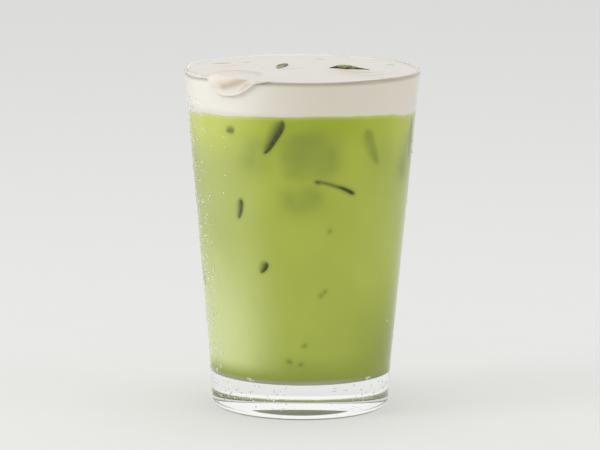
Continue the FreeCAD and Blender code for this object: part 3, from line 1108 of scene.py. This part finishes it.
def leaf_sheet(cream, leaf, line, widths, lifts, shades, cup, lengthwise=64, crosswise=17):
    """Points and faces of a cupped, veined sliver of leaf on the cream, and for each point how
    near a vein it lies and how dark it is."""
    share = np.linspace(0, 1, lengthwise)
    centre_x, centre_y = (spaced(places, share) for places in zip(*line))
    ahead_x, ahead_y = np.gradient(centre_x), np.gradient(centre_y)
    ahead = np.hypot(ahead_x, ahead_y)
    ragged = [noise.noise(Vector((step * 0.55, len(line), cup))) for step in range(lengthwise)]
    ends = np.sqrt(np.clip(1 - (2 * share - 1) ** 8, 0.01, 1))
    half = spaced(widths, share) / 2 * (1 + 0.28 * np.array(ragged)) * ends
    across = np.linspace(-1, 1, crosswise)[:, None]
    x = (centre_x - ahead_y / ahead * half * across) * MM
    y = (centre_y + ahead_x / ahead * half * across) * MM
    vein = 0.09 * bell(across, 0.13)
    slant = np.sin((share * 9 - np.abs(across) * 1.3) * FULL_TURN) * (1 - np.abs(across))
    shape = cup * across**2 * half / (1 + half) + vein + 0.05 * slant * np.minimum(half, 1)
    ground = cream_top(cream, x, y)
    top = ground + (spaced(lifts, share) + shape) * MM
    under = np.minimum(top - leaf.thick, ground - 0.25 * MM)
    points, faces = sheet(*(np.stack([x, y, z], axis=-1) for z in (top, under)))
    veins = np.clip(vein * 9 + 0.35 * slant, 0, 1)
    dark = spaced(shades, share) + 0 * x
    return points, faces, *(np.tile(values.ravel(), 2) for values in (veins, dark))


def leaf_material(leaf, name, pale):
    """Torn green leaf: mottled, lighter along its veins, and greyed where cream covers it."""
    shader = Shader(name)
    place = shader.place()
    dark = shader.attribute("darkness")
    mottle = shader.cloud(place, 1.5 * MM, detail=4).between(0.38, 0.62)
    veins = shader.attribute("vein") * (0.6 - dark * 0.5)
    film = shader.cloud(place, 2.4 * MM, detail=3) * 0.4 + (pale * 1.3 - 0.35)
    tone = shader.layered(
        leaf.dark,
        ((mottle - dark).clamped(), leaf.fresh),
        (veins.clamped(), leaf.fresh),
        (film.clamped(), leaf.pale),
    )
    grain = shader.bump(shader.cloud(place, 0.35 * MM, detail=2), 0.05 * MM)
    return shader.finished(shader.surface(tone, 0.42, 0.4, Normal=grain))


class LATTE_OT_leaves(bpy.types.Operator):
    """Build the slivers and flecks of leaf that lie on the cream"""

    bl_idname = "latte.leaves"
    bl_label = "Leaf on the cream"

    def execute(self, context):
        latte = context.scene.latte
        cream, leaf = latte.cream, latte.leaf
        for name, node, *shape, pale in LEAVES:
            points, faces, veins, dark = leaf_sheet(cream, leaf, *shape)
            material = leaf_material(leaf, name.replace("sliver", "green"), pale)
            piece = mesh_piece(name, points, faces, "leaf", material, node)
            give(piece, "vein", veins)
            give(piece, "darkness", dark)
        flecks = [leaf_sheet(cream, leaf, *shape, 24, 7) for shape in FLECKS]
        points, faces = joined([fleck[:2] for fleck in flecks])
        material = leaf_material(leaf, "leaf_green_flecks", FLECK_PALE)
        piece = mesh_piece("leaf_flecks", points, faces, "leaf", material)
        give(piece, "vein", np.concatenate([fleck[2] for fleck in flecks]))
        give(piece, "darkness", np.concatenate([fleck[3] for fleck in flecks]))
        return {"FINISHED"}


# ---------------------------------------------------------------- drops and bubbles

# Where the lowest drops sit, the height below which drops stay small, and how small.
LOWEST_DROP = 4 * MM
FOOT_DROPS = 14 * MM
LARGEST_ON_FOOT = 0.38 * MM

# The water: its index of refraction, its reflections and how much of it is clear. The rest is matt
# white, painted light that makes the drops pale, as if lit from behind.
WATER_IOR = 1.33
WATER_SHINE = 0.5
WATER_CLEAR = 0.72


def dome(wall, inset, turn, height, radius, bulge, sink, steps=9, rings=3):
    """Points and faces of a closed dome on the wall at an angle and height. Its foot lies inset
    into the outside of the wall and reaches on by sink; bulge is its height over its radius."""
    slope = float(wall.outside(height + 1 * MM) - wall.outside(height - 1 * MM)) / (2 * MM)
    outward = Vector((math.cos(turn), math.sin(turn), -slope)).normalized()
    side = outward.cross(Vector((0, 0, 1))).normalized()
    up = side.cross(outward).normalized()
    centre = Vector(polar(float(wall.outside(height)) - inset, turn, height))
    lifts = [math.pi / 2 * ring / rings for ring in range(rings)]
    tall = radius * bulge
    levels = [(radius, -sink)]
    levels += [(radius * math.cos(lift), tall * math.sin(lift)) for lift in lifts]
    points = []
    for reach, proud in levels:
        for step in range(steps):
            spin = FULL_TURN * step / steps
            spoke = side * (reach * math.cos(spin)) + up * (reach * math.sin(spin))
            points.append(tuple(centre + spoke + outward * proud))
    points.append(tuple(centre + outward * tall))
    faces = [tuple(reversed(range(steps)))]
    for low in range(0, rings * steps, steps):
        high = low + steps
        for step in range(steps):
            after = (step + 1) % steps
            faces.append((low + step, low + after, high + after, high + step))
    tip = len(points) - 1
    last = rings * steps
    faces += [(last + step, last + (step + 1) % steps, tip) for step in range(steps)]
    return points, faces


def dampness(heading, height):
    """How thickly drops lie at a direction in degrees and a height: 0 for none, 1 for most."""
    left = 1 - smooth_step((abs(turn_from(heading, 180)) - 18) / 18)
    back = 0.16 if 20 < heading < 160 else 0.0
    right = 0.10 * bell(turn_from(heading, 5), 13)
    front_top = 0.04 * bell(turn_from(heading, 226), 9) * (85 * MM < height < 113 * MM)
    foot = 0.0
    if height < 13 * MM and not 262 < heading < 305:
        foot = 0.7 if heading > 180 else 0.42
    return max(left, back, right, front_top, foot)


class LATTE_OT_drops(bpy.types.Operator):
    """Build the drops of water on the outside of the glass"""

    bl_idname = "latte.drops"
    bl_label = "Drops of water"

    def execute(self, context):
        latte = context.scene.latte
        wall = Wall(latte.glass)
        drop = latte.drop
        draw = random.Random(drop.seed)
        placed, parts = [], []
        for _ in range(drop.drops):
            heading = draw.uniform(0, 360)
            height = draw.uniform(1.5 * MM, MILK_LEVEL + 6 * MM)
            size = drop.smallest * (drop.largest / drop.smallest) ** (draw.random() ** 2.2)
            if draw.random() > dampness(heading, height) or height < LOWEST_DROP:
                continue
            if height < FOOT_DROPS:
                size = min(size, LARGEST_ON_FOOT)
            turn = math.radians(heading)
            centre = Vector(polar(float(wall.outside(height)), turn, height))
            if any((centre - other).length < size + reach for other, reach in placed):
                continue
            placed.append((centre, size))
            parts.append(dome(wall, 0.0, turn, height, size, drop.bulge, 0.04 * MM))
        material = clear_material("clear_water", (1, 1, 1), WATER_IOR, WATER_SHINE, WATER_CLEAR)
        mesh_piece("water_drops", *joined(parts), "glass", material)
        return {"FINISHED"}


# Bubbles between the milk and the wall: direction in degrees, height, and radius in millimetres.
BUBBLES = [
    (-144.6, 102.6, 0.45), (-134.3, 102.9, 0.38), (-131.0, 99.0, 0.25), (-126.8, 14.9, 0.5),
    (-125.0, 14.6, 0.65), (-123.2, 14.3, 0.4), (-121.9, 14.5, 0.3), (-41.2, 14.6, 0.45),
    (-39.8, 14.4, 0.7), (-38.0, 14.7, 0.5), (-36.6, 14.4, 0.3), (40.0, 14.6, 0.6),
    (42.5, 14.5, 0.4), (120.0, 14.6, 0.6), (123.0, 14.4, 0.45),
]


class LATTE_OT_bubbles(bpy.types.Operator):
    """Build the bubbles that cling between the milk and the wall"""

    bl_idname = "latte.bubbles"
    bl_label = "Bubbles"

    def execute(self, context):
        latte = context.scene.latte
        wall = Wall(latte.glass)
        parts = []
        for heading, level, size in BUBBLES:
            height = level * MM
            inset = float(wall.outside(height) - wall.inside(height)) - latte.milk.bite
            turn = math.radians(heading)
            parts.append(dome(wall, inset, turn, height, size * MM, 0.35, 0.1 * MM, 14, 5))
        shader = Shader("bubble_skin")
        froth = shader.cloud(shader.place(), 0.5 * MM)
        tone = shader.mixed(froth, latte.cream.top, latte.milk.high)
        material = shader.finished(shader.surface(tone, 0.25, 0.5))
        mesh_piece("wall_bubbles", *joined(parts), "matcha", material)
        return {"FINISHED"}


# ---------------------------------------------------------------- the stage


# Places and sizes of the lamps, and the shares of its size over which each fades at its left,
# right, lower and upper side.
LAMP_FADES = (0.2, 0.2, 0.2, 0.2)
GLEAM_FADES = (0.4, 0.5, 0.4, 0.3)
GLEAM_PLACE = (-0.075, -0.045, 0.087)
TABLE_REACH = 6.0


def softbox(name, place, target, width, tall, power, fades=LAMP_FADES, gleam=False):
    """A lamp at a place, facing a target, that the camera doesn't see. A gleam shows in glass
    and lights nothing."""
    lamp = bpy.data.lights.new(name, "AREA")
    lamp.shape = "RECTANGLE"
    lamp.size = width
    lamp.size_y = tall
    lamp.energy = power
    shader = Shader(lamp)
    across, along, _ = shader.axes(shader.node("ShaderNodeNewGeometry", output="Parametric"))
    soft = across.between(0.0, fades[0]) * (1 - across.between(1 - fades[1], 1.0))
    soft = soft * along.between(0.0, fades[2]) * (1 - along.between(1 - fades[3], 1.0))
    light = shader.node("ShaderNodeEmission", None, {"Strength": soft})
    shader.finished(light, "ShaderNodeOutputLight")
    box = put_in_scene(name, lamp)
    box.location = place
    box.rotation_euler = (Vector(target) - Vector(place)).to_track_quat("-Z", "Y").to_euler()
    box.visible_camera = False
    box.visible_transmission = not gleam
    box.visible_diffuse = not gleam


def make_world(stage):
    """Even light from all around, and the pale surroundings wherever they are looked at."""
    world = bpy.data.worlds.new("pale_room")
    shader = Shader(world)
    even = {"Color": (1, 1, 1, 1), "Strength": stage.ambient}
    seen = {"Color": shader.rgba(stage.surround), "Strength": 1.0}
    lights = [shader.node("ShaderNodeBackground", None, light) for light in (even, seen)]
    shader.finished(shader.blend(shader.looked_at(), *lights), "ShaderNodeOutputWorld")
    bpy.context.scene.world = world


def make_table(stage):
    """A wide round table top, level with the glass's foot."""
    turn = np.linspace(0, FULL_TURN, 65)[:-1]
    points = polar(TABLE_REACH + 0 * turn, turn, 0.0).tolist()
    mesh = bpy.data.meshes.new("table_top")
    mesh.from_pydata(points, [], [tuple(range(len(points)))])
    shader = Shader("matt_table")
    grain = shader.cloud(shader.place(), 20 * MM, detail=4)
    tone = shader.mixed(grain, [0.97 * channel for channel in stage.table], stage.table)
    glow = shader.node("ShaderNodeEmission", None, {"Color": shader.rgba(stage.surround)})
    matt = shader.surface(tone, 0.8, 0.0)
    mesh.materials.append(shader.finished(shader.blend(shader.looked_at() * stage.glow, matt, glow)))
    put_in_scene("table_top", mesh)


def make_camera(stage):
    lens = bpy.data.cameras.new("camera")
    lens.lens = stage.lens
    lens.sensor_width = 36
    lens.shift_x = stage.shift
    lens.clip_start = 0.05
    camera = put_in_scene("camera", lens)
    stance = Matrix.Rotation(math.pi / 2 - stage.tilt, 4, "X")
    stance = stance @ Matrix.Rotation(stage.roll, 4, "Z")
    camera.matrix_world = Matrix.Translation((0, -stage.distance, stage.height)) @ stance
    bpy.context.scene.camera = camera


class LATTE_OT_stage(bpy.types.Operator):
    """Set the table, the lamps and the camera"""

    bl_idname = "latte.stage"
    bl_label = "Stage"

    def execute(self, context):
        stage = context.scene.latte.stage
        make_world(stage)
        make_table(stage)
        make_camera(stage)
        middle = (0, 0, LIP_LEVEL / 2)
        beside = (0, *GLEAM_PLACE[1:])
        gleam = stage.gleam_power
        softbox("key_lamp", (-1.15, -0.45, 0.6), middle, 0.7, 0.7, stage.key_power)
        softbox("fill_lamp", (1.15, -0.35, 0.5), middle, 0.6, 0.6, stage.fill_power)
        softbox("top_lamp", (0.1, 0.1, 1.1), middle, 0.7, 0.7, stage.top_power)
        softbox("left_gleam", GLEAM_PLACE, beside, 0.18, 0.2, gleam, GLEAM_FADES, True)
        context.scene.view_settings.view_transform = "Standard"
        return {"FINISHED"}


# ---------------------------------------------------------------- the panel and the run


class LATTE_PT_panel(bpy.types.Panel):
    """The drink's pieces, in the order in which they are built"""

    bl_idname = "LATTE_PT_panel"
    bl_label = "Iced Matcha Latte"
    bl_space_type = "VIEW_3D"
    bl_region_type = "UI"
    bl_category = "Latte"

    def draw(self, context):
        for operator in OPERATORS:
            self.layout.operator(operator.bl_idname)


SETTINGS = (
    GlassSettings, MilkSettings, CreamSettings, LeafSettings, DropSettings, StageSettings,
    LatteSettings,
)
OPERATORS = (
    LATTE_OT_glass, LATTE_OT_ice, LATTE_OT_shreds, LATTE_OT_milk, LATTE_OT_cream,
    LATTE_OT_leaves, LATTE_OT_drops, LATTE_OT_bubbles, LATTE_OT_stage,
)


def register():
    for kind in (*SETTINGS, *OPERATORS, LATTE_PT_panel):
        bpy.utils.register_class(kind)
    bpy.types.Scene.latte = PointerProperty(type=LatteSettings)


def unregister():
    del bpy.types.Scene.latte
    for kind in reversed((*SETTINGS, *OPERATORS, LATTE_PT_panel)):
        bpy.utils.unregister_class(kind)


def main():
    register()
    for operator in OPERATORS:
        family, name = operator.bl_idname.split(".")
        getattr(getattr(bpy.ops, family), name)()


if __name__ == "__main__":
    main()
